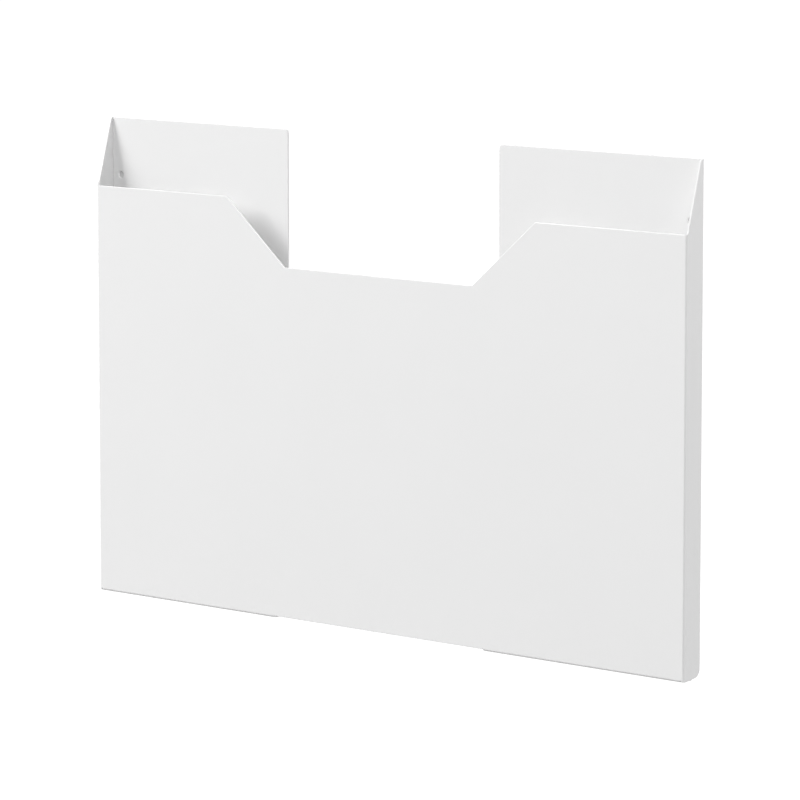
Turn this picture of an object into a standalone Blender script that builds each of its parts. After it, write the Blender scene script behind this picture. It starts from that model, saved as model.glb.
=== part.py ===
"""Wall-hung magazine file holder, folded and spot welded from thin sheet steel.

Lengths are in metres. X runs along the width, Y from the front to the wall, and Z is up.
The origin lies on the wall, midway between the two screw holes.
"""

import math

import bmesh
import bpy
from mathutils import Vector

# Sheet, its coating and the gap left between welded pieces
SHEET = 0.0012
WELD_GAP = 0.0003
COAT_COLOUR = (0.84, 0.84, 0.84, 1.0)
COAT_ROUGHNESS = 0.42

# Outside sizes of the holder
WIDTH = 0.480
DEPTH = 0.0148
FRONT_HEIGHT = 0.2605
BACK_HEIGHT = 0.3034

# Bends, measured on the outside of the sheet
FRONT_BEND_RADIUS = 0.0016
REAR_BEND_RADIUS = 0.0045
BEND_STEPS = 8

# Grip cut-out in the front panel's top edge
CUTOUT_DEPTH = 0.041
CUTOUT_TOP_WIDTH = 0.2513
CUTOUT_FLOOR_WIDTH = 0.1531

# Side flanges: flat tip at the rear of the sloped top edge, and height of the foot at its front and rear
TIP_LENGTH = 0.0021
FOOT_LIFT = 0.0003
FOOT_REAR_LIFT = 0.0022

# Bottom tongues, the slits beside their bends and the cut edge between them
TONGUE_DEPTH = 0.010
TONGUE_INSET = 0.0024
RELIEF_WIDTH = 0.0004
CUT_EDGE_LIFT = 0.0011

# Back plates
PLATE_WIDTH = 0.1526
PLATE_CORNER_RADIUS = 0.0025
CORNER_STEPS = 6

# Screw holes
HOLE_DIAMETER = 0.0045
HOLE_INSET = 0.0085
HOLE_DROP = 0.0365
HOLE_SIDES = 32

# Places that follow from the sizes above
FLOOR_Z = HOLE_DROP - BACK_HEIGHT
HOLE_X = WIDTH / 2 - HOLE_INSET
PLATE_OUTER_X = WIDTH / 2 - SHEET - WELD_GAP
PLATE_INNER_X = PLATE_OUTER_X - PLATE_WIDTH
RETURN_UNDERSIDE = SHEET + WELD_GAP
SLOPE_START = FRONT_BEND_RADIUS / 2
SLOPE_GRADE = (BACK_HEIGHT - FRONT_HEIGHT) / (DEPTH - TIP_LENGTH - SLOPE_START)

LEFT = -1
RIGHT = 1
QUARTER_TURN = math.pi / 2
SMOOTH_ANGLE = math.radians(30)


def clear_scene():
    for obj in list(bpy.data.objects):
        bpy.data.objects.remove(obj, do_unlink=True)


def powder_coat(name):
    material = bpy.data.materials.new(name)
    material.use_nodes = True
    shader = material.node_tree.nodes["Principled BSDF"]
    shader.inputs["Base Color"].default_value = COAT_COLOUR
    shader.inputs["Roughness"].default_value = COAT_ROUGHNESS
    shader.inputs["Metallic"].default_value = 0.0
    return material


def blank(bm, points):
    """Cut a flat blank from its outline and return its corners in order."""
    corners = [bm.verts.new(point) for point in points]
    bm.faces.new(corners)
    return corners


def fold(bm, edge, pivot, axis, angle):
    """Bend the sheet along an edge and return the edge where the bend ends."""
    geom = [edge, *edge.verts]
    turned = bmesh.ops.spin(bm, geom=geom, cent=pivot, axis=axis, angle=angle, steps=BEND_STEPS)
    return next(item for item in turned["geom_last"] if isinstance(item, bmesh.types.BMEdge))


def extend(bm, edge, length, direction):
    """Carry the sheet straight on from an edge and return the far corners."""
    grown = bmesh.ops.extrude_edge_only(bm, edges=[edge])
    corners = [item for item in grown["geom"] if isinstance(item, bmesh.types.BMVert)]
    bmesh.ops.translate(bm, verts=corners, vec=Vector(direction) * length)
    return corners


def round_corner(bm, corner, radius):
    bmesh.ops.bevel(bm, geom=[corner], offset=radius, segments=CORNER_STEPS, profile=0.5, affect="VERTICES")


def sweep_top(bm):
    """Raise the top edge of the flanges: a curve round the bend, then a straight slope to the rear."""
    for corner in bm.verts:
        if corner.co.z > FRONT_HEIGHT - SHEET:
            behind = corner.co.y
            run = behind - SLOPE_START
            if behind < FRONT_BEND_RADIUS:
                run = behind * behind / (2 * FRONT_BEND_RADIUS)
            corner.co.z += SLOPE_GRADE * run


def trim_top(bm, height):
    """Cut the sheet off level at a height."""
    geom = [*bm.verts, *bm.edges, *bm.faces]
    bmesh.ops.bisect_plane(bm, geom=geom, plane_co=(0, 0, height), plane_no=(0, 0, 1), clear_outer=True)


def face_outward(bm, outside):
    """Turn every face of the folded sheet so that its outer side faces out."""
    bm.normal_update()
    bmesh.ops.recalc_face_normals(bm, faces=bm.faces)
    widest = max(bm.faces, key=lambda face: face.calc_area())
    if widest.normal.dot(outside) < 0:
        bmesh.ops.reverse_faces(bm, faces=bm.faces)


def sheet_object(name, bm, location, parent):
    """Make a named object from the outer skin and thicken it inward to the sheet."""
    mesh = bpy.data.meshes.new(name)
    bm.to_mesh(mesh)
    bm.free()
    mesh.shade_smooth()
    mesh.set_sharp_from_angle(angle=SMOOTH_ANGLE)
    mesh.materials.append(powder_coat(name + "_coat"))
    obj = bpy.data.objects.new(name, mesh)
    bpy.context.collection.objects.link(obj)
    obj.parent = parent
    obj.location = location
    thicken = obj.modifiers.new("Sheet", "SOLIDIFY")
    thicken.thickness = SHEET
    thicken.offset = -1.0
    thicken.use_even_offset = True
    thicken.use_quality_normals = True
    return obj


def front_panel(parent):
    """Front with its grip cut-out, two side flanges and two bottom tongues, folded from one blank."""
    radius = FRONT_BEND_RADIUS
    bend_x = WIDTH / 2 - radius
    tongue_outer_x = WIDTH / 2 - TONGUE_INSET
    half_outline = (
        (PLATE_INNER_X - RELIEF_WIDTH, CUT_EDGE_LIFT),
        (PLATE_INNER_X - RELIEF_WIDTH, radius),
        (PLATE_INNER_X, radius),
        (tongue_outer_x, radius),
        (tongue_outer_x + RELIEF_WIDTH, radius),
        (tongue_outer_x + RELIEF_WIDTH, FOOT_LIFT),
        (bend_x, FOOT_LIFT),
        (bend_x, FRONT_HEIGHT),
        (CUTOUT_TOP_WIDTH / 2, FRONT_HEIGHT),
        (CUTOUT_FLOOR_WIDTH / 2, FRONT_HEIGHT - CUTOUT_DEPTH),
    )
    right_points = [Vector((x, 0, z)) for x, z in half_outline]
    left_points = [Vector((-x, 0, z)) for x, z in reversed(half_outline)]
    bm = bmesh.new()
    corners = blank(bm, right_points + left_points)
    halves = {RIGHT: corners[:len(half_outline)], LEFT: corners[:-len(half_outline) - 1:-1]}
    for side, half in halves.items():
        tongue_inner, tongue_outer, side_foot, side_top = half[2], half[3], half[6], half[7]
        tongue_line = bm.edges.get((tongue_inner, tongue_outer))
        tongue = fold(bm, tongue_line, (0, radius, radius), (1, 0, 0), QUARTER_TURN)
        extend(bm, tongue, TONGUE_DEPTH - radius, (0, 1, 0))
        side_line = bm.edges.get((side_foot, side_top))
        flange = fold(bm, side_line, (side * bend_x, radius, 0), (0, 0, 1), side * QUARTER_TURN)
        rear = extend(bm, flange, DEPTH - radius, (0, 1, 0))
        rear_foot = min(rear, key=lambda corner: corner.co.z)
        rear_foot.co.z = FOOT_REAR_LIFT
        round_corner(bm, rear_foot, REAR_BEND_RADIUS)
    sweep_top(bm)
    trim_top(bm, BACK_HEIGHT)
    face_outward(bm, Vector((0, -1, 0)))
    return sheet_object("front_panel", bm, (0, -DEPTH, FLOOR_Z), parent)


def screw_hole(plate):
    """Drill the wall screw's hole at the plate's own origin."""
    bm = bmesh.new()
    radius = HOLE_DIAMETER / 2
    bmesh.ops.create_cone(bm, cap_ends=True, segments=HOLE_SIDES, radius1=radius, radius2=radius, depth=DEPTH)
    mesh = bpy.data.meshes.new(plate.name + "_drill")
    bm.to_mesh(mesh)
    bm.free()
    drill = bpy.data.objects.new(plate.name + "_drill", mesh)
    bpy.context.collection.objects.link(drill)
    drill.parent = plate
    drill.rotation_euler.x = QUARTER_TURN
    drill.display_type = "WIRE"
    drill.hide_render = True
    cut = plate.modifiers.new("Screw hole", "BOOLEAN")
    cut.operation = "DIFFERENCE"
    cut.solver = "EXACT"
    cut.object = drill


def back_plate(name, side, parent):
    """Back plate with a screw hole, and a bottom return that laps over the front panel's tongue."""
    radius = REAR_BEND_RADIUS
    outer_x = side * (PLATE_OUTER_X - HOLE_X)
    inner_x = side * (PLATE_INNER_X - HOLE_X)
    bend_z = FLOOR_Z + RETURN_UNDERSIDE + radius
    return_length = DEPTH - radius - FRONT_BEND_RADIUS - WELD_GAP
    outline = ((outer_x, bend_z), (inner_x, bend_z), (inner_x, HOLE_DROP), (outer_x, HOLE_DROP))
    bm = bmesh.new()
    outer_foot, inner_foot, inner_top, _ = blank(bm, [Vector((x, 0, z)) for x, z in outline])
    foot_line = bm.edges.get((outer_foot, inner_foot))
    foot = fold(bm, foot_line, (0, -radius, bend_z), (1, 0, 0), -QUARTER_TURN)
    extend(bm, foot, return_length, (0, -1, 0))
    round_corner(bm, inner_top, PLATE_CORNER_RADIUS)
    face_outward(bm, Vector((0, 1, 0)))
    plate = sheet_object(name, bm, (side * HOLE_X, 0, 0), parent)
    screw_hole(plate)
    return plate


def main():
    clear_scene()
    wall = bpy.data.objects.new("wall_frame", None)
    bpy.context.collection.objects.link(wall)
    front_panel(wall)
    back_plate("left_back_plate", LEFT, wall)
    back_plate("right_back_plate", RIGHT, wall)


main()
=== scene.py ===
"""Dress the wall-hung magazine file holder: folded sheet steel under a white powder coat.

Lengths are in metres. X runs along the width, Y from the room to the wall, and Z is up.
"""

import math

import bmesh
import bpy
from bpy.props import FloatProperty, FloatVectorProperty, IntProperty, PointerProperty
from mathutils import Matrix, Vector


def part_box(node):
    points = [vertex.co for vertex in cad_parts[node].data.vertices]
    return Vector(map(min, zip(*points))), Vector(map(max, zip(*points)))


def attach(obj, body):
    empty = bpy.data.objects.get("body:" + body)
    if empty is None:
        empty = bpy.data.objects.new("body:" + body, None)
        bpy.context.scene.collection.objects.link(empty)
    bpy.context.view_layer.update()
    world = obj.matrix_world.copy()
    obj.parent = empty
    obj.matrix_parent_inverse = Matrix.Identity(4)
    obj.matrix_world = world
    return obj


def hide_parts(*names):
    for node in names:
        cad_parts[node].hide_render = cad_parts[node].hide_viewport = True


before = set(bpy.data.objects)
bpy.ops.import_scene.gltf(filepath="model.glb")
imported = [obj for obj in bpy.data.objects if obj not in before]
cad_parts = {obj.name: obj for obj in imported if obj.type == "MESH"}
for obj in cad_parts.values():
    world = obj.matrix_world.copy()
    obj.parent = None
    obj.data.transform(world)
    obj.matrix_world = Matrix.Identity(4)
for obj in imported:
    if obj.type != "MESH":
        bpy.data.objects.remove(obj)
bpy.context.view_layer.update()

bl_info = {
    "name": "Magazine File Holder",
    "version": (1, 0, 0),
    "blender": (4, 5, 0),
    "location": "View3D > Sidebar > Holder",
    "description": "Folds the holder's front panel and back plates and sets them on a plain studio stage",
    "category": "Add Mesh",
}

# Outside of the front panel, which is the outside of the whole holder
PANEL_LOW, PANEL_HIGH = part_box("front_panel")
HALF_WIDTH = (PANEL_HIGH.x - PANEL_LOW.x) / 2
FRONT_Y = PANEL_LOW.y
REAR_Y = PANEL_HIGH.y
UNDERSIDE_Z = PANEL_LOW.z
BACK_TOP_Z = PANEL_HIGH.z

# Sides and directions
LEFT = -1
RIGHT = 1
TO_WALL = Vector((0, 1, 0))
TO_ROOM = Vector((0, -1, 0))
QUARTER_TURN = math.pi / 2

# Distance that counts as touching, and agreement of two directions that counts as the same
TOUCH = 1e-5
SAME_WAY = 0.999

# Angles up to which faces are one flat face, above which an edge is a cut edge,
# and up to which shading is smooth
FLAT_ANGLE = math.radians(0.5)
CUT_ANGLE = math.radians(40)
SMOOTH_ANGLE = math.radians(50)

# Facets of a screw hole and of a rounded cut edge
HOLE_SIDES = 64
EDGE_STEPS = 4

# Half sides of the two squares that a screw hole is opened in, as shares of its diameter
OUTER_SQUARE = 0.95
INNER_SQUARE = 0.7

# Level about which a noise swings
NOISE_MIDDLE = 0.5


def length(name, description, default):
    return FloatProperty(name=name, description=description, default=default, unit="LENGTH", precision=5)


def number(name, description, default, subtype="NONE", unit="NONE"):
    return FloatProperty(name=name, description=description, default=default, subtype=subtype, unit=unit)


def tint(name, description, default):
    return FloatVectorProperty(name=name, description=description, default=default, subtype="COLOR")


def point(name, description, default):
    return FloatVectorProperty(name=name, description=description, default=default, subtype="TRANSLATION")


class HolderSizes(bpy.types.PropertyGroup):
    """Sizes of the folded sheets. Heights are above the underside."""

    sheet: length("Sheet", "Thickness of the coated sheet", 0.0012)
    weld_gap: length("Weld gap", "Gap between two pieces where they are welded", 0.0003)
    edge_round: length("Edge round", "Radius that the coat gives a cut edge", 0.00035)
    front_height: length("Front height", "Height of the front panel's top edge", 0.2605)
    front_bend: length("Front bend", "Outside radius of the front panel's bends", 0.0016)
    rear_bend: length("Rear bend", "Outside radius of the back plates' bends and the flanges' feet", 0.0045)
    bend_steps: IntProperty(name="Bend steps", description="Facets in a quarter bend", default=18)
    cutout_depth: length("Cut-out depth", "Depth of the grip cut-out", 0.041)
    cutout_top: length("Cut-out top", "Width of the grip cut-out at the top edge", 0.2513)
    cutout_floor: length("Cut-out floor", "Width of the grip cut-out at its floor", 0.1531)
    tongue_depth: length("Tongue depth", "How far a bottom tongue reaches back from the front", 0.010)
    tongue_inset: length("Tongue inset", "Distance of a tongue from the outside of the flange", 0.0024)
    relief: length("Relief", "Width of the slit at each end of a tongue's bend", 0.0004)
    cut_edge_lift: length("Cut edge lift", "Height of the edge between the tongues", 0.0011)
    foot_lift: length("Foot lift", "Height of a flange's foot at the front", 0.0003)
    foot_rear_lift: length("Foot rear lift", "Height of a flange's foot at the rear", 0.0022)
    tip: length("Tip", "Length of the flat tip at the rear of a flange's sloped edge", 0.0021)
    tip_round: length("Tip round", "Radius of the tip's front corner", 0.0016)
    plate_width: length("Plate width", "Width of a back plate", 0.1526)
    plate_corner: length("Plate corner", "Radius of a back plate's inner top corner", 0.0025)
    hole: length("Screw hole", "Diameter of a screw hole", 0.0045)
    hole_inset: length("Hole inset", "Distance of a screw hole from the outside of the flange", 0.0085)
    corner_steps: IntProperty(name="Corner steps", description="Facets in a rounded corner", default=10)


class CoatLooks(bpy.types.PropertyGroup):
    """Looks of the powder coat."""

    colour: tint("Colour", "White of the coat", (0.84, 0.84, 0.84))
    roughness: number("Roughness", "Satin of the coat", 0.42, "FACTOR")
    cloud_scale: number("Cloud scale", "Scale of the faint cloud in the white", 14.0)
    cloud_shade: number("Cloud shade", "Darkest white of the cloud, beside the colour", 0.975, "FACTOR")
    cloud_satin: number("Cloud satin", "How far the cloud changes the roughness", 0.08, "FACTOR")
    peel_scale: number("Peel scale", "Scale of the orange peel", 520.0)
    peel_depth: length("Peel depth", "Depth of the orange peel", 0.00005)
    peel_strength: number("Peel strength", "How strongly the orange peel shows", 0.35, "FACTOR")
    peel_satin: number("Peel satin", "How far the orange peel changes the roughness", 0.06, "FACTOR")
    grain_scale: number("Grain scale", "Scale of the fine grain on the orange peel", 1900.0)
    grain_share: number("Grain share", "Height of the grain beside the peel's", 0.25, "FACTOR")


class StageLooks(bpy.types.PropertyGroup):
    """Floor, grey patches of painted shade behind the screw holes, lamps and camera."""

    floor_colour: tint("Floor", "Matte floor below its white", (0.35, 0.35, 0.35))
    floor_size: length("Floor size", "Side of the square floor", 60.0)
    floor_drop: length("Floor drop", "Height of the holder's underside above the floor", 0.9)
    near_lift: number("Near lift", "White added to the floor seen below the holder", 0.64)
    far_lift: number("Far lift", "White added to the floor seen far off", 0.95)
    lift_start: length("Lift start", "Distance at which the floor starts to whiten", 1.5)
    lift_end: length("Lift end", "Distance from which the floor is white", 5.0)
    # The patches' grey is painted shade that darkens the screw holes; the lamps still light and shade the
    # patches.
    hole_painted_shade: number("Hole shade", "Grey of the wall behind the screw holes", 0.65)
    patch_radius: length("Patch radius", "Radius of the patch of wall behind a screw hole", 0.006)
    patch_gap: length("Patch gap", "Distance of that patch behind the back plates", 0.0015)
    world_light: number("World light", "Even light from all round", 0.345)
    key_power: number("Key lamp", "Lamp high on the left", 245.0, "POWER")
    fill_power: number("Fill lamp", "Large lamp on the right", 64.0, "POWER")
    side_power: number("Side lamp", "Lamp behind on the right", 27.0, "POWER")
    rear_power: number("Rear lamp", "Large lamp behind", 35.0, "POWER")
    camera_place: point("Camera place", "Where the camera stands", (2.01985, -2.24253, 0.27704))
    camera_aim: point("Camera aim", "What the camera looks at", (0.02071, -0.0165, -0.12073))
    camera_lens: number("Camera lens", "Focal length of the camera", 225.01, unit="CAMERA")
    camera_sensor: number("Camera sensor", "Width of the camera's sensor", 36.0, unit="CAMERA")


class Value:
    """A shader value whose arithmetic adds Math nodes. The larger of two values is written as a | b."""

    def __init__(self, graph, socket):
        self.graph = graph
        self.socket = socket

    def maths(self, operation, left, right):
        made = self.graph.node("ShaderNodeMath", {"operation": operation}, {0: left, 1: right})
        return Value(self.graph, made.outputs[0])

    def __add__(self, other):
        return self.maths("ADD", self, other)

    def __radd__(self, other):
        return self.maths("ADD", other, self)

    def __sub__(self, other):
        return self.maths("SUBTRACT", self, other)

    def __rsub__(self, other):
        return self.maths("SUBTRACT", other, self)

    def __mul__(self, other):
        return self.maths("MULTIPLY", self, other)

    def __rmul__(self, other):
        return self.maths("MULTIPLY", other, self)

    def __or__(self, other):
        return self.maths("MAXIMUM", self, other)

    def __ror__(self, other):
        return self.maths("MAXIMUM", other, self)


class Graph:
    """The node tree of one material or world."""

    def __init__(self, owner):
        owner.use_nodes = True
        self.tree = owner.node_tree
        self.tree.nodes.clear()

    def node(self, kind, settings=None, sockets=None):
        """Add a node, set it up, and link its sockets or set their values."""
        made = self.tree.nodes.new(kind)
        for name, value in (settings or {}).items():
            setattr(made, name, value)
        for name, value in (sockets or {}).items():
            if isinstance(value, Value):
                value = value.socket
            if isinstance(value, bpy.types.NodeSocket):
                self.tree.links.new(value, made.inputs[name])
            else:
                made.inputs[name].default_value = value
        return made

    def value(self, kind, output, settings=None, sockets=None):
        """Add a node and take one of its outputs as a value."""
        return Value(self, self.node(kind, settings, sockets).outputs[output])


def powder_coat(looks):
    """White satin powder coat: fine orange peel and a faint cloud in the white."""
    material = bpy.data.materials.new("white_powder_coat")
    graph = Graph(material)
    place = graph.node("ShaderNodeTexCoord").outputs["Object"]

    def noise(scale, detail):
        sockets = {"Vector": place, "Scale": scale, "Detail": detail}
        return graph.value("ShaderNodeTexNoise", "Fac", sockets=sockets)

    cloud = noise(looks.cloud_scale, detail=3.0)
    peel = noise(looks.peel_scale, detail=1.5)
    grain = noise(looks.grain_scale, detail=1.0)
    white = (*looks.colour, 1.0)
    shade = (*(part * looks.cloud_shade for part in looks.colour), 1.0)
    clouded = graph.node("ShaderNodeMix", {"data_type": "RGBA"}, {"Factor": cloud, "A": white, "B": shade})
    satin = (cloud - NOISE_MIDDLE) * looks.cloud_satin + (peel - NOISE_MIDDLE) * looks.peel_satin
    bump = graph.node(
        "ShaderNodeBump",
        sockets={
            "Strength": looks.peel_strength,
            "Distance": looks.peel_depth,
            "Height": peel + grain * looks.grain_share,
        },
    )
    shader = graph.node(
        "ShaderNodeBsdfPrincipled",
        sockets={
            "Base Color": clouded.outputs["Result"],
            "Roughness": looks.roughness + satin,
            "Normal": bump.outputs["Normal"],
        },
    )
    graph.node("ShaderNodeOutputMaterial", sockets={"Surface": shader.outputs[0]})
    return material


def coat_of(context):
    """The powder coat, mixed once and used on every sheet."""
    return bpy.data.materials.get("white_powder_coat") or powder_coat(context.scene.holder_coat)


def lay_blank(name, low, high, y, facing):
    """Lay a flat blank upright at its size and place, and open it for editing."""
    bpy.ops.object.select_all(action="DESELECT")
    middle = ((low[0] + high[0]) / 2, y, (low[1] + high[1]) / 2)
    turn = QUARTER_TURN if facing == TO_ROOM else -QUARTER_TURN
    bpy.ops.mesh.primitive_plane_add(size=1, location=middle, rotation=(turn, 0, 0))
    sheet = bpy.context.object
    sheet.name = name
    sheet.data.name = name
    sheet.scale = (high[0] - low[0], high[1] - low[1], 1)
    bpy.ops.object.transform_apply(location=True, rotation=True, scale=True)
    bpy.ops.object.mode_set(mode="EDIT")
    return sheet


def pick(sheet, kind, test):
    """Select only the corners, edges or faces that pass a test of themselves and their middle."""
    bpy.ops.mesh.select_mode(type={"verts": "VERT", "edges": "EDGE", "faces": "FACE"}[kind])
    bpy.ops.mesh.select_all(action="DESELECT")
    shape = bmesh.from_edit_mesh(sheet.data)
    found = 0
    for part in getattr(shape, kind):
        if kind == "verts":
            middle = part.co
        else:
            middle = sum((corner.co for corner in part.verts), Vector()) / len(part.verts)
        if test(part, middle):
            part.select_set(True)
            found += 1
    if not found:
        raise RuntimeError(f"{sheet.name} has none of the {kind} to select")
    shape.select_flush_mode()
    bmesh.update_edit_mesh(sheet.data)


def on_front(face, middle):
    """Tell whether a face looks straight into the room, as the flat front does."""
    return face.normal.dot(TO_ROOM) > SAME_WAY


def score(place, normal):
    """Cut the selected faces along a plane, keeping both sides."""
    bpy.ops.mesh.bisect(plane_co=place, plane_no=normal)


def fold(sheet, test, pivot, axis, angle, steps, reach):
    """Bend the sheet along the edges that pass a test and carry it straight on from the bend."""
    pick(sheet, "edges", test)
    bpy.ops.mesh.spin(steps=steps, angle=angle, center=pivot, axis=axis)
    bpy.ops.mesh.extrude_edges_move(TRANSFORM_OT_translate={"value": reach})


def pick_corner(sheet, corner):
    """Select only the corner at a place."""
    pick(sheet, "verts", lambda part, middle: (middle - corner).length < TOUCH)


def lift_corner(sheet, corner, rise):
    """Raise the corner at a place."""
    pick_corner(sheet, corner)
    bpy.ops.transform.translate(value=(0, 0, rise))


def round_corner(sheet, corner, radius, steps):
    """Round the corner at a place, within the sheet."""
    pick_corner(sheet, corner)
    bpy.ops.mesh.bevel(offset=radius, affect="VERTICES", segments=steps, profile=0.5)


def take_up(piece):
    """Make the piece the only one selected and the one that the tools work on."""
    bpy.ops.object.select_all(action="DESELECT")
    piece.select_set(True)
    bpy.context.view_layer.objects.active = piece


def use_modifier(piece, kind, **settings):
    """Add a modifier to the piece and apply it."""
    modifier = piece.modifiers.new(kind.title(), kind)
    for name, value in settings.items():
        setattr(modifier, name, value)
    bpy.ops.object.modifier_apply(modifier=modifier.name)


def thicken(sheet, sizes, facing):
    """Turn the skin's faces to their outer side and give the sheet its thickness inward."""
    bpy.ops.mesh.select_mode(type="FACE")
    bpy.ops.mesh.select_all(action="SELECT")
    bpy.ops.mesh.remove_doubles(threshold=TOUCH)
    bpy.ops.mesh.normals_make_consistent(inside=False)
    shape = bmesh.from_edit_mesh(sheet.data)
    widest = max(shape.faces, key=lambda face: face.calc_area())
    if widest.normal.dot(facing) < 0:
        bpy.ops.mesh.flip_normals()
    bpy.ops.object.mode_set(mode="OBJECT")
    use_modifier(
        sheet,
        "SOLIDIFY",
        thickness=sizes.sheet,
        offset=-1.0,
        use_even_offset=True,
        use_quality_normals=True,
    )


def finish_edges(piece, sizes, spared):
    """Round the cut edges as the coat does, but for the spared ones, and shade the bends smooth."""
    take_up(piece)
    bpy.ops.object.mode_set(mode="EDIT")
    pick(piece, "edges", lambda part, middle: part.calc_face_angle(0) > CUT_ANGLE and not spared(middle))
    bpy.ops.transform.edge_bevelweight(value=1.0)
    bpy.ops.object.mode_set(mode="OBJECT")
    use_modifier(
        piece,
        "BEVEL",
        width=sizes.edge_round,
        segments=EDGE_STEPS,
        limit_method="WEIGHT",
        use_clamp_overlap=False,
    )
    bpy.ops.object.shade_smooth_by_angle(angle=SMOOTH_ANGLE)
    use_modifier(piece, "WEIGHTED_NORMAL", weight=100, keep_sharp=True)


def hang(piece, node, context):
    """Give a finished sheet its coat and put it in the place of its solid."""
    piece.data.materials.clear()
    piece.data.materials.append(coat_of(context))
    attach(piece, "root")
    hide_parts(node)


def tongue_ends(sizes):
    """Distances of a bottom tongue's inner and outer end from the middle of the front."""
    inner = HALF_WIDTH - sizes.sheet - sizes.weld_gap - sizes.plate_width
    outer = HALF_WIDTH - sizes.tongue_inset
    return inner, outer


def hole_place(sizes, side):
    """Place of a screw hole along the width. Its height is 0, because the frame starts there."""
    return side * (HALF_WIDTH - sizes.hole_inset)


class HOLDER_OT_front_panel(bpy.types.Operator):
    """Fold the front panel with its grip cut-out, side flanges and bottom tongues from one blank"""

    bl_idname = "holder.front_panel"
    bl_label = "Front Panel"
    bl_options = {"REGISTER", "UNDO"}

    def execute(self, context):
        sizes = context.scene.holder_sizes
        bend_x = HALF_WIDTH - sizes.front_bend
        foot_z = UNDERSIDE_Z + sizes.foot_lift
        top_z = UNDERSIDE_Z + sizes.front_height
        sheet = lay_blank("front_panel_sheet", (-bend_x, foot_z), (bend_x, top_z), FRONT_Y, TO_ROOM)
        for side in (LEFT, RIGHT):
            self.fold_flange(sheet, sizes, side, bend_x, foot_z, top_z)
        self.cut_grip(sheet, sizes, top_z)
        self.fold_tongues(sheet, sizes)
        pick(sheet, "faces", on_front)
        bpy.ops.mesh.dissolve_limited(angle_limit=FLAT_ANGLE)
        thicken(sheet, sizes, TO_ROOM)
        finish_edges(sheet, sizes, lambda middle: self.stays_sharp(middle, sizes))
        hang(sheet, "front_panel", context)
        return {"FINISHED"}

    def fold_flange(self, sheet, sizes, side, bend_x, foot_z, top_z):
        """Fold one side flange back, slope its top edge up to the tip and round its tip and rear foot."""
        bend = sizes.front_bend
        depth = REAR_Y - FRONT_Y
        slope_start = bend / 2
        grade = (BACK_TOP_Z - top_z) / (depth - sizes.tip - slope_start)
        fold(
            sheet,
            lambda part, middle: abs(middle.x - side * bend_x) < TOUCH,
            pivot=(side * bend_x, FRONT_Y + bend, 0),
            axis=(0, 0, 1),
            angle=-side * QUARTER_TURN,
            steps=sizes.bend_steps,
            reach=(0, depth - bend, 0),
        )
        for step in range(1, sizes.bend_steps + 1):
            turn = QUARTER_TURN * step / sizes.bend_steps
            behind = bend * (1 - math.cos(turn))
            corner = Vector((side * (bend_x + bend * math.sin(turn)), FRONT_Y + behind, top_z))
            lift_corner(sheet, corner, grade * behind * behind / (2 * bend))
        rear_foot = Vector((side * HALF_WIDTH, REAR_Y, foot_z))
        rear_top = Vector((side * HALF_WIDTH, REAR_Y, top_z))
        foot_rise = Vector((0, 0, sizes.foot_rear_lift - sizes.foot_lift))
        lift_corner(sheet, rear_foot, foot_rise.z)
        lift_corner(sheet, rear_top, grade * (depth - slope_start))
        bpy.ops.mesh.select_all(action="SELECT")
        bpy.ops.mesh.bisect(plane_co=(0, 0, BACK_TOP_Z), plane_no=(0, 0, 1), clear_outer=True)
        tip_corner = Vector((side * HALF_WIDTH, REAR_Y - sizes.tip, BACK_TOP_Z))
        round_corner(sheet, rear_foot + foot_rise, sizes.rear_bend, sizes.corner_steps)
        round_corner(sheet, tip_corner, sizes.tip_round, sizes.corner_steps)

    def cut_grip(self, sheet, sizes, top_z):
        """Cut the trapezoid grip out of the front's top edge."""
        cut_z = top_z - sizes.cutout_depth
        half_floor = sizes.cutout_floor / 2
        slant = Vector((sizes.cutout_top / 2 - half_floor, 0, sizes.cutout_depth)).normalized()
        for side in (LEFT, RIGHT):
            pick(sheet, "faces", on_front)
            score((side * half_floor, 0, cut_z), (slant.z, 0, -side * slant.x))
        pick(sheet, "faces", lambda part, middle: on_front(part, middle) and abs(middle.x) < half_floor)
        score((0, 0, cut_z), (0, 0, 1))
        pick(sheet, "faces", lambda part, middle: abs(middle.x) < TOUCH and middle.z > cut_z)
        bpy.ops.mesh.delete(type="FACE")

    def fold_tongues(self, sheet, sizes):
        """Slit the front's bottom edge beside each tongue and fold the tongues back."""
        bend = sizes.front_bend
        bend_z = UNDERSIDE_Z + bend
        inner, outer = tongue_ends(sizes)
        inner_slit = inner - sizes.relief
        outer_slit = outer + sizes.relief
        for x in (inner_slit, inner, outer, outer_slit):
            for side in (LEFT, RIGHT):
                pick(sheet, "faces", on_front)
                score((side * x, 0, 0), (1, 0, 0))

        def above_tongue(part, middle):
            return on_front(part, middle) and inner_slit < abs(middle.x) < outer_slit

        def between_tongues(part, middle):
            return on_front(part, middle) and abs(middle.x) < inner_slit

        for strip, cut_z in ((above_tongue, bend_z), (between_tongues, UNDERSIDE_Z + sizes.cut_edge_lift)):
            pick(sheet, "faces", strip)
            score((0, 0, cut_z), (0, 0, 1))
            pick(sheet, "faces", lambda part, middle: strip(part, middle) and middle.z < cut_z)
            bpy.ops.mesh.delete(type="FACE")
        fold(
            sheet,
            lambda part, middle: abs(middle.z - bend_z) < TOUCH and inner < abs(middle.x) < outer,
            pivot=(0, FRONT_Y + bend, bend_z),
            axis=(1, 0, 0),
            angle=-QUARTER_TURN,
            steps=sizes.bend_steps,
            reach=(0, sizes.tongue_depth - bend, 0),
        )

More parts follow.
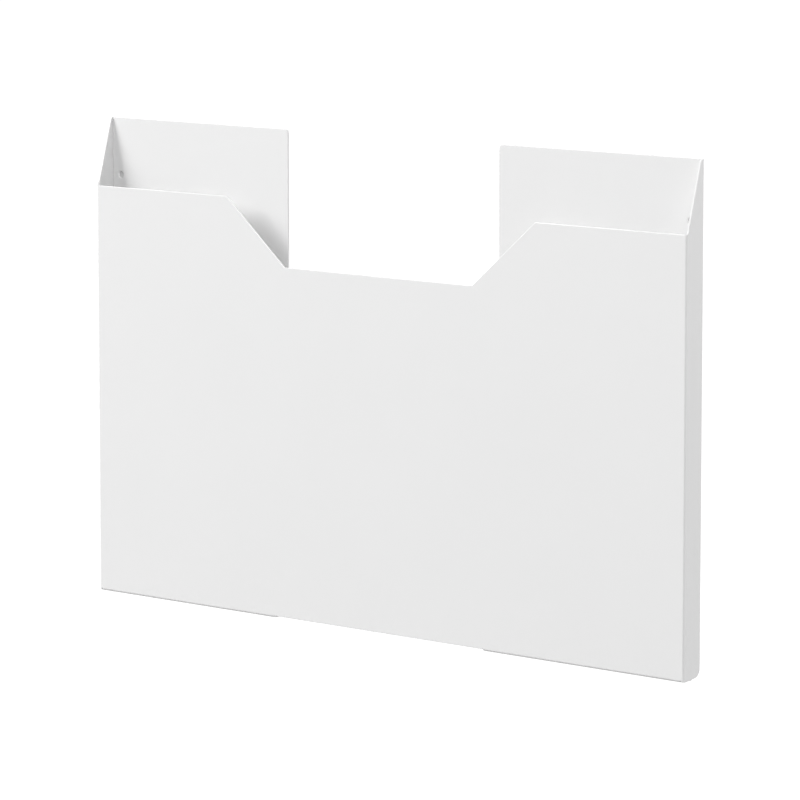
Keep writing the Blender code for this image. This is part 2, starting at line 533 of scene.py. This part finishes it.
    def stays_sharp(self, middle, sizes):
        """Tell whether a place lies in a slit, on a flange's bend or on a flange's inner side."""
        inner, outer = tongue_ends(sizes)
        x = abs(middle.x)
        beside_inner = inner - sizes.relief - TOUCH < x < inner + TOUCH
        beside_outer = outer - TOUCH < x < outer + sizes.relief + TOUCH
        beside_bend = middle.z < UNDERSIDE_Z + sizes.front_bend + sizes.relief
        in_slit = beside_bend and (beside_inner or beside_outer)
        past_front = x > HALF_WIDTH - sizes.front_bend + TOUCH
        on_bend = past_front and middle.y < FRONT_Y + sizes.front_bend - TOUCH
        on_inner_side = past_front and x < HALF_WIDTH - sizes.sheet + TOUCH
        return in_slit or on_bend or on_inner_side


class HOLDER_OT_back_plates(bpy.types.Operator):
    """Fold and drill the left back plate and mirror it for the right"""

    bl_idname = "holder.back_plates"
    bl_label = "Back Plates"
    bl_options = {"REGISTER", "UNDO"}

    def execute(self, context):
        sizes = context.scene.holder_sizes
        left = self.fold_plate(sizes)
        right = self.mirror(left)
        for plate, node in ((left, "left_back_plate"), (right, "right_back_plate")):
            finish_edges(plate, sizes, lambda middle: False)
            hang(plate, node, context)
        return {"FINISHED"}

    def fold_plate(self, sizes):
        """Drill the left plate's blank, fold its bottom return forward and round its inner top corner."""
        low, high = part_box("left_back_plate")
        bend = sizes.rear_bend
        bend_z = low.z + bend
        plate = lay_blank("left_back_plate_sheet", (low.x, bend_z), (high.x, high.z), high.y, TO_WALL)
        self.drill(plate, sizes, high.y)
        fold(
            plate,
            lambda part, middle: abs(middle.z - bend_z) < TOUCH,
            pivot=(0, high.y - bend, bend_z),
            axis=(1, 0, 0),
            angle=QUARTER_TURN,
            steps=sizes.bend_steps,
            reach=(0, low.y - high.y + bend, 0),
        )
        round_corner(plate, Vector((high.x, high.y, high.z)), sizes.plate_corner, sizes.corner_steps)
        thicken(plate, sizes, TO_WALL)
        return plate

    def drill(self, plate, sizes, y):
        """Open a round screw hole in the flat blank, inside a square set off by cuts across the plate."""
        hole_x = hole_place(sizes, LEFT)
        outer = sizes.hole * OUTER_SQUARE
        inner = sizes.hole * INNER_SQUARE
        for side in (LEFT, RIGHT):
            bpy.ops.mesh.select_all(action="SELECT")
            score((hole_x + side * outer, 0, 0), (1, 0, 0))
        for side in (LEFT, RIGHT):
            pick(plate, "faces", lambda part, middle: abs(middle.x - hole_x) < outer)
            score((0, 0, side * outer), (0, 0, 1))
        pick(plate, "faces", lambda part, middle: max(abs(middle.x - hole_x), abs(middle.z)) < TOUCH)
        bpy.ops.mesh.inset(thickness=outer - inner)
        bpy.ops.mesh.delete(type="ONLY_FACE")

        def on_square(part, middle):
            return max(abs(middle.x - hole_x), abs(middle.z)) < inner + TOUCH

        pick(plate, "edges", on_square)
        bpy.ops.mesh.subdivide(number_cuts=HOLE_SIDES // 4 - 1)
        pick(plate, "edges", lambda part, middle: len(part.link_faces) < 2 and on_square(part, middle))
        bpy.ops.mesh.extrude_edges_move()
        bpy.ops.transform.tosphere(value=1.0)
        middle = Vector((hole_x, y, 0))
        rim = next(corner for corner in bmesh.from_edit_mesh(plate.data).verts if corner.select)
        shrink = sizes.hole / 2 / (rim.co - middle).length
        bpy.ops.transform.resize(value=(shrink, 1, shrink), center_override=middle)

    def mirror(self, left):
        """Copy the left plate with a mesh of its own and turn the copy into the right one."""
        take_up(left)
        bpy.ops.object.duplicate(linked=False)
        right = bpy.context.object
        right.name = "right_back_plate_sheet"
        right.data.name = "right_back_plate_sheet"
        bpy.ops.object.mode_set(mode="EDIT")
        bpy.ops.mesh.select_all(action="SELECT")
        bpy.ops.transform.mirror(constraint_axis=(True, False, False), center_override=(0, 0, 0))
        bpy.ops.mesh.normals_make_consistent(inside=False)
        bpy.ops.object.mode_set(mode="OBJECT")
        return right


class HOLDER_OT_stage(bpy.types.Operator):
    """Set the pale floor, the grey patches of painted shade behind the screw holes, the soft lamps and the
    camera
    """

    bl_idname = "holder.stage"
    bl_label = "Stage"
    bl_options = {"REGISTER", "UNDO"}

    def execute(self, context):
        looks = context.scene.holder_stage
        self.light_world(context, looks)
        self.lay_floor(looks)
        self.shade_holes(looks, context.scene.holder_sizes)
        self.hang_lamp("key_lamp", turn=-62, rise=30, distance=5.0, size=2.2, power=looks.key_power)
        self.hang_lamp("fill_lamp", turn=40, rise=28, distance=4.0, size=2.6, power=looks.fill_power)
        self.hang_lamp("side_lamp", turn=115, rise=25, distance=3.0, size=1.8, power=looks.side_power)
        self.hang_lamp("rear_lamp", turn=180, rise=20, distance=4.0, size=2.6, power=looks.rear_power)
        self.set_camera(context, looks)
        return {"FINISHED"}

    def seen_directly(self, graph):
        """1 on rays that show the background itself, 0 on rays that gather light."""
        path = graph.node("ShaderNodeLightPath")
        camera = Value(graph, path.outputs["Is Camera Ray"])
        glossy = Value(graph, path.outputs["Is Glossy Ray"])
        through = Value(graph, path.outputs["Is Transmission Ray"])
        return camera | glossy | through

    def light_world(self, context, looks):
        """Light the holder evenly from all round, from a world that looks white."""
        world = bpy.data.worlds.new("white_studio")
        context.scene.world = world
        graph = Graph(world)
        shown = self.seen_directly(graph)
        strength = looks.world_light + shown * (1.0 - looks.world_light)
        light = graph.node("ShaderNodeBackground", sockets={"Color": (1, 1, 1, 1), "Strength": strength})
        graph.node("ShaderNodeOutputWorld", sockets={"Surface": light.outputs[0]})

    def lay_floor(self, looks):
        """Lay a matte floor that looks white and whitens further with distance."""
        bpy.ops.object.select_all(action="DESELECT")
        middle = (0, 0, UNDERSIDE_Z - looks.floor_drop)
        bpy.ops.mesh.primitive_plane_add(size=looks.floor_size, location=middle)
        floor = bpy.context.object
        floor.name = "studio_floor"
        material = bpy.data.materials.new("pale_floor")
        graph = Graph(material)
        place = graph.node("ShaderNodeTexCoord").outputs["Object"]
        away = graph.value("ShaderNodeVectorMath", "Value", {"operation": "LENGTH"}, {0: place})
        whiten = graph.value(
            "ShaderNodeMapRange",
            "Result",
            {"interpolation_type": "SMOOTHSTEP"},
            {
                "Value": away,
                "From Min": looks.lift_start,
                "From Max": looks.lift_end,
                "To Min": looks.near_lift,
                "To Max": looks.far_lift,
            },
        )
        white = self.seen_directly(graph) * whiten
        matte = graph.node("ShaderNodeBsdfDiffuse", sockets={"Color": (*looks.floor_colour, 1.0)})
        lift = graph.node("ShaderNodeEmission", sockets={"Color": (1, 1, 1, 1), "Strength": white})
        both = graph.node("ShaderNodeAddShader", sockets={0: matte.outputs[0], 1: lift.outputs[0]})
        graph.node("ShaderNodeOutputMaterial", sockets={"Surface": both.outputs[0]})
        floor.data.materials.append(material)

    def shade_holes(self, looks, sizes):
        """Stand a small grey patch behind each screw hole, for eyes on the room side only. Its grey is
        painted shade that darkens the holes, and the lamps light and shade it as well.
        """
        shade = self.shaded_wall(looks.hole_painted_shade)
        for side in (LEFT, RIGHT):
            bpy.ops.object.select_all(action="DESELECT")
            bpy.ops.mesh.primitive_circle_add(
                vertices=HOLE_SIDES,
                radius=looks.patch_radius,
                fill_type="NGON",
                location=(hole_place(sizes, side), REAR_Y + looks.patch_gap, 0),
                rotation=(QUARTER_TURN, 0, 0),
            )
            patch = bpy.context.object
            patch.name = "wall_patch"
            patch.visible_diffuse = False
            patch.visible_shadow = False
            patch.data.materials.append(shade)

    def shaded_wall(self, grey):
        """Matte grey of painted shade, clear when it is seen from its rear."""
        material = bpy.data.materials.new("shaded_wall")
        graph = Graph(material)
        from_rear = graph.node("ShaderNodeNewGeometry").outputs["Backfacing"]
        # Painted shade: this grey stands in for the shade seen through the screw holes.
        matte = graph.node("ShaderNodeBsdfDiffuse", sockets={"Color": (grey, grey, grey, 1.0)})
        clear = graph.node("ShaderNodeBsdfTransparent")
        sides = {0: from_rear, 1: matte.outputs[0], 2: clear.outputs[0]}
        seen = graph.node("ShaderNodeMixShader", sockets=sides)
        graph.node("ShaderNodeOutputMaterial", sockets={"Surface": seen.outputs[0]})
        return material

    def hang_lamp(self, name, turn, rise, distance, size, power):
        """Aim a square soft lamp at the holder, turned to the right of its front and raised, in degrees."""
        across = math.sin(math.radians(turn))
        ahead = math.cos(math.radians(turn))
        level = math.cos(math.radians(rise))
        away = Vector((across * level, -ahead * level, math.sin(math.radians(rise))))
        middle = (PANEL_LOW + PANEL_HIGH) / 2
        bpy.ops.object.light_add(type="AREA", location=middle + away * distance)
        lamp = bpy.context.object
        lamp.name = name
        lamp.data.shape = "SQUARE"
        lamp.data.size = size
        lamp.data.energy = power
        lamp.rotation_euler = (-away).to_track_quat("-Z", "Y").to_euler()

    def set_camera(self, context, looks):
        """Stand the camera at the photograph's viewing angle and show colours as they are written."""
        bpy.ops.object.camera_add(location=looks.camera_place)
        camera = bpy.context.object
        camera.name = "photo_camera"
        camera.data.sensor_width = looks.camera_sensor
        camera.data.lens = looks.camera_lens
        aim = Vector(looks.camera_aim) - camera.location
        camera.rotation_euler = aim.to_track_quat("-Z", "Y").to_euler()
        context.scene.camera = camera
        context.scene.view_settings.view_transform = "Standard"


class HOLDER_PT_sidebar(bpy.types.Panel):
    """Lists the holder's pieces, their sizes and the stage"""

    bl_label = "Magazine File Holder"
    bl_idname = "HOLDER_PT_sidebar"
    bl_space_type = "VIEW_3D"
    bl_region_type = "UI"
    bl_category = "Holder"

    def draw(self, context):
        for operator in OPERATORS:
            self.layout.operator(operator.bl_idname)
        for group in (context.scene.holder_sizes, context.scene.holder_coat, context.scene.holder_stage):
            box = self.layout.box()
            for name in group.__annotations__:
                box.prop(group, name)


GROUPS = {"holder_sizes": HolderSizes, "holder_coat": CoatLooks, "holder_stage": StageLooks}
OPERATORS = (HOLDER_OT_front_panel, HOLDER_OT_back_plates, HOLDER_OT_stage)


def register():
    for cls in (*GROUPS.values(), *OPERATORS, HOLDER_PT_sidebar):
        bpy.utils.register_class(cls)
    for name, group in GROUPS.items():
        setattr(bpy.types.Scene, name, PointerProperty(type=group))


def unregister():
    for name in GROUPS:
        delattr(bpy.types.Scene, name)
    for cls in (HOLDER_PT_sidebar, *reversed(OPERATORS), *reversed(GROUPS.values())):
        bpy.utils.unregister_class(cls)


def main():
    register()
    bpy.ops.holder.front_panel()
    bpy.ops.holder.back_plates()
    bpy.ops.holder.stage()


if __name__ == "__main__":
    main()
